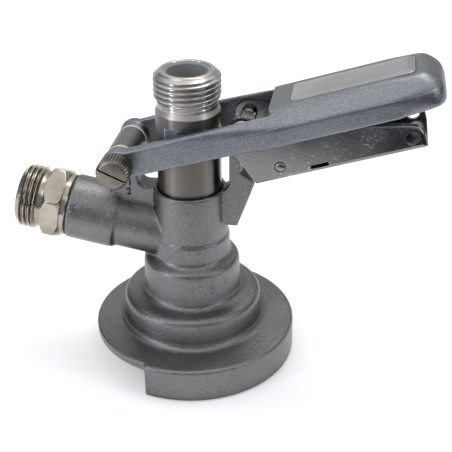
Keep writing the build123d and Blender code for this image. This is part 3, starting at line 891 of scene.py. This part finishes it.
def draft_sides(piece):
    """Leans the handle's sides away from the parting line, as the die leaves them."""
    root, full_at, arm_end, fade = 13.9, 0.8, 25, 30
    upper_slope, lower_slope = 0.045, 0.085
    inverse = lever_frame.inverted()
    for vertex in piece.data.vertices:
        along, across, height = (inverse @ vertex.co) / mm
        if abs(across) > root and along > arm_end:
            above = height - parting_height
            lean = above * upper_slope if above > 0 else -above * lower_slope
            lean *= min((abs(across) - root) / full_at, (along - arm_end) / fade, 1.0)
            across -= math.copysign(lean, across)
            vertex.co = lever_frame @ (Vector((along, across, height)) * mm)


def lever_shell():
    """The lever with soft cast edges, drafted sides and a well rounded end."""
    end_start, end_fade = 95.0, 8.0
    seam_side, seam_start = 12.8, 30
    root_side, root_start, root_end, root_fade = 11.0, 26.0, 66.0, 10.0

    def near_end(along, across, height):
        return (along - end_start) / end_fade

    def near_parting(along, across, height):
        if abs(across) <= seam_side or along <= seam_start:
            return 0.0
        return 1.6 - abs(height - parting_height) / 1.2

    def bevel_root(along, across, height):
        if abs(across) < root_side or height < parting_height:
            return 0.0
        return min((along - root_start) / root_fade, (root_end - along) / root_fade)

    piece = remeshed("lever_shell", "lever_casting")
    draft_sides(piece)
    soften(piece, 6)
    soften(piece, 60, bevel_root, lever_frame)
    soften(piece, 24, near_parting, lever_frame)
    soften(piece, 220, near_end, lever_frame)
    return piece


def body_shell():
    """The body with soft cast edges, softest on the bell's steps."""
    column_side, bell_low, bell_high = 15.5, 16.0, 44.0

    def on_bell(x, y, height):
        outside = math.hypot(x, y) - column_side
        return min(outside / 1.5, (height - bell_low) / 2.0, (bell_high - height) / 2.0)

    piece = remeshed("body_shell", "body_casting")
    soften(piece, 7)
    soften(piece, 60, on_bell)
    return piece


dress(lever_shell(), "lever", "chromed_zinc", "lever_casting")
dress(body_shell(), "base", "cast_stainless", "body_casting")


# ---- trigger's spring ----------------------------------------------------
def squashed_spring():
    """The trigger's spring: a copy of the CAD spring, on the lever."""
    piece = placed("squashed_spring", nodes["trigger_spring"].data.copy())
    dress(piece, "lever", "spring_steel", "trigger_spring")
    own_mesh(piece)


squashed_spring()


# ---- numbers cast on the fin ---------------------------------------------
def cast_number(name, text, x, z):
    """A raised number on the fin's near face."""
    curve = bpy.data.curves.new(name, "FONT")
    curve.body = text
    curve.size = number_size * mm
    curve.extrude = 0.22 * mm
    curve.bevel_depth = 0.05 * mm
    curve.align_x = "CENTER"
    curve.align_y = "CENTER"
    writing = placed(name + "_text", curve)
    writing.rotation_euler = (math.radians(90), 0, 0)
    writing.location = (x * mm, (fin_face - 0.08) * mm, z * mm)
    mesh = evaluated_mesh(writing)
    mesh.transform(writing.matrix_world)
    bpy.data.objects.remove(writing)
    return placed(name, mesh)


# the raised numbers painted near-black as shadow
number_shadow = stamped_shadow()
dress(cast_number("fin_number_one", "1", -20.6, 67.9), "base", "cast_stainless", finish=number_shadow)
dress(cast_number("fin_number_two", "2", -21.1, 64.4), "base", "cast_stainless", finish=number_shadow)


# ---- studio --------------------------------------------------------------
def path_white(tree, shade, white):
    """Mixes a shader with white for camera, glossy and transmission rays."""
    rays = tree.nodes.new("ShaderNodeLightPath")
    total = rays.outputs["Is Camera Ray"]
    for name in ("Is Glossy Ray", "Is Transmission Ray"):
        top = tree.nodes.new("ShaderNodeMath")
        top.operation = "MAXIMUM"
        tree.links.new(total, top.inputs[0])
        tree.links.new(rays.outputs[name], top.inputs[1])
        total = top.outputs[0]
    mix = tree.nodes.new("ShaderNodeMixShader")
    tree.links.new(total, mix.inputs[0])
    tree.links.new(shade, mix.inputs[1])
    tree.links.new(white, mix.inputs[2])
    return mix.outputs[0]


def make_world():
    """Soft even light, and plain white to the camera and in reflections."""
    world = bpy.data.worlds.new("studio")
    bpy.context.scene.world = world
    world.use_nodes = True
    tree = world.node_tree
    soft = tree.nodes["Background"]
    soft.inputs["Color"].default_value = (0.93, 0.935, 0.96, 1.0)
    soft.inputs["Strength"].default_value = 0.75
    white = tree.nodes.new("ShaderNodeBackground")
    white.inputs["Color"].default_value = (1.0, 1.0, 1.0, 1.0)
    white.inputs["Strength"].default_value = 1.0
    mixed = path_white(tree, soft.outputs[0], white.outputs[0])
    tree.links.new(mixed, tree.nodes["World Output"].inputs["Surface"])


def stage_plane(name, corners, material):
    """One flat face of the studio."""
    mesh = bpy.data.meshes.new(name)
    mesh.from_pydata([Vector(corner) for corner in corners], [], [tuple(range(len(corners)))])
    plane = placed(name, mesh)
    plane.data.materials.append(material)
    return plane


def make_floor():
    """A white floor that keeps the contact shadow and reads as white."""
    material = bpy.data.materials.new("floor_white")
    material.use_nodes = True
    shade = material.node_tree.nodes["Principled BSDF"]
    shade.inputs["Base Color"].default_value = (0.90, 0.90, 0.90, 1.0)
    shade.inputs["Roughness"].default_value = 0.9
    shade.inputs["Specular IOR Level"].default_value = 0.0
    shade.inputs["Emission Color"].default_value = (1.0, 1.0, 1.0, 1.0)
    shade.inputs["Emission Strength"].default_value = 0.25
    reach = 3.0
    level = cad_box[0][2] - 0.0002
    square = [(-reach, -reach), (reach, -reach), (reach, reach), (-reach, reach)]
    stage_plane("floor", [(x, y, level) for x, y in square], material)


def dim_card(name, corners, glow):
    """A dim studio panel that only reflections see."""
    material = bpy.data.materials.new(name)
    material.use_nodes = True
    tree = material.node_tree
    light = tree.nodes.new("ShaderNodeEmission")
    light.inputs["Color"].default_value = (*glow, 1.0)
    light.inputs["Strength"].default_value = 1.0
    tree.links.new(light.outputs[0], tree.nodes["Material Output"].inputs["Surface"])
    card = stage_plane(name, corners, material)
    card.visible_camera = False
    card.visible_diffuse = False
    card.visible_shadow = False


def make_cards():
    """The room round the white sheet: dim walls, and dark beyond the sheet's front edge."""
    left, split, right = -0.8, 0.0, 0.9
    back, front = 0.8, -1.0
    high, tall = 0.7, 1.0

    def wall(name, start, end, start_top, end_top, glow):
        """A card that stands on the floor from one (x, y) corner to the other."""
        corners = [(*start, 0), (*end, 0), (*end, end_top), (*start, start_top)]
        dim_card(name, corners, glow)

    wall("card_left", (left, front), (left, back), tall, high, (0.16, 0.17, 0.19))
    wall("card_back", (split, back), (right, back), high, high, (0.44, 0.43, 0.44))
    wall("card_back_left", (left, back), (split, back), high, high, (0.66, 0.65, 0.66))
    wall("card_right", (right, back), (right, front), high, high, (0.20, 0.21, 0.23))
    wall("card_front", (left, front), (right, front), tall, tall, (0.36, 0.36, 0.375))
    level = cad_box[0][2] + 0.0003
    edge = [(-0.30, front), (right, front), (right, 0.22), (0.079, -0.168), (-0.30, -0.35)]
    dim_card("sheet_edge", [(x, y, level) for x, y in edge], (0.035, 0.042, 0.065))


def soft_lamp(name, place, target, size, power, tint=(1.0, 1.0, 1.0)):
    """A rectangular lamp that looks at its target."""
    lamp = bpy.data.lights.new(name, "AREA")
    lamp.shape = "RECTANGLE"
    lamp.size, lamp.size_y = size
    lamp.energy = power
    lamp.color = tint
    holder = placed(name, lamp)
    holder.location = place
    holder.rotation_euler = (Vector(target) - Vector(place)).to_track_quat("-Z", "Y").to_euler()
    return holder


def make_lamps():
    """Weak soft lamps, and a tall narrow window to the left for the streak down the probe."""
    middle = (0.01, 0.0, 0.06)
    cool, blue = (0.86, 0.92, 1.0), (0.80, 0.92, 1.0)
    soft_lamp("key_lamp", (-0.35, -0.55, 0.75), middle, (0.35, 0.35), 0.7)
    soft_lamp("top_lamp", (0.15, 0.25, 0.9), middle, (0.5, 0.4), 2.4)
    soft_lamp("side_lamp", (0.75, -0.25, 0.35), middle, (0.12, 0.5), 0.9, cool)
    streak = (0.0, 0.0, 0.10)
    strip = soft_lamp("strip_lamp", (-0.47, -0.41, 0.22), streak, (0.07, 0.36), 1.0, blue)
    strip.visible_camera = False


def aim_camera():
    """The viewpoint of a product picture: close, from the front and above."""
    azimuth, pitch, roll = math.radians(9.0), math.radians(29.42), math.radians(-0.45)
    target = Vector((0.0, 0.0, 0.070))
    distance, slide_right, slide_up = 0.3447, 0.0127, -0.01758
    reach = math.cos(pitch)
    back = Vector((math.sin(azimuth) * reach, -math.cos(azimuth) * reach, math.sin(pitch)))
    level = Vector((math.cos(azimuth), math.sin(azimuth), 0.0))
    upright = back.cross(level)
    right = level * math.cos(roll) + upright * math.sin(roll)
    up = upright * math.cos(roll) - level * math.sin(roll)
    place = target + back * distance + right * slide_right + up * slide_up
    lens = bpy.data.cameras.new("camera")
    lens.sensor_width = 36.0
    lens.lens = 78.47
    lens.clip_start = 0.01
    camera = placed("camera", lens)
    turn = Matrix((right, up, back)).transposed().to_4x4()
    camera.matrix_world = Matrix.Translation(place) @ turn
    bpy.context.scene.camera = camera


make_world()
make_floor()
make_cards()
make_lamps()
aim_camera()
bpy.context.scene.view_settings.view_transform = "Standard"
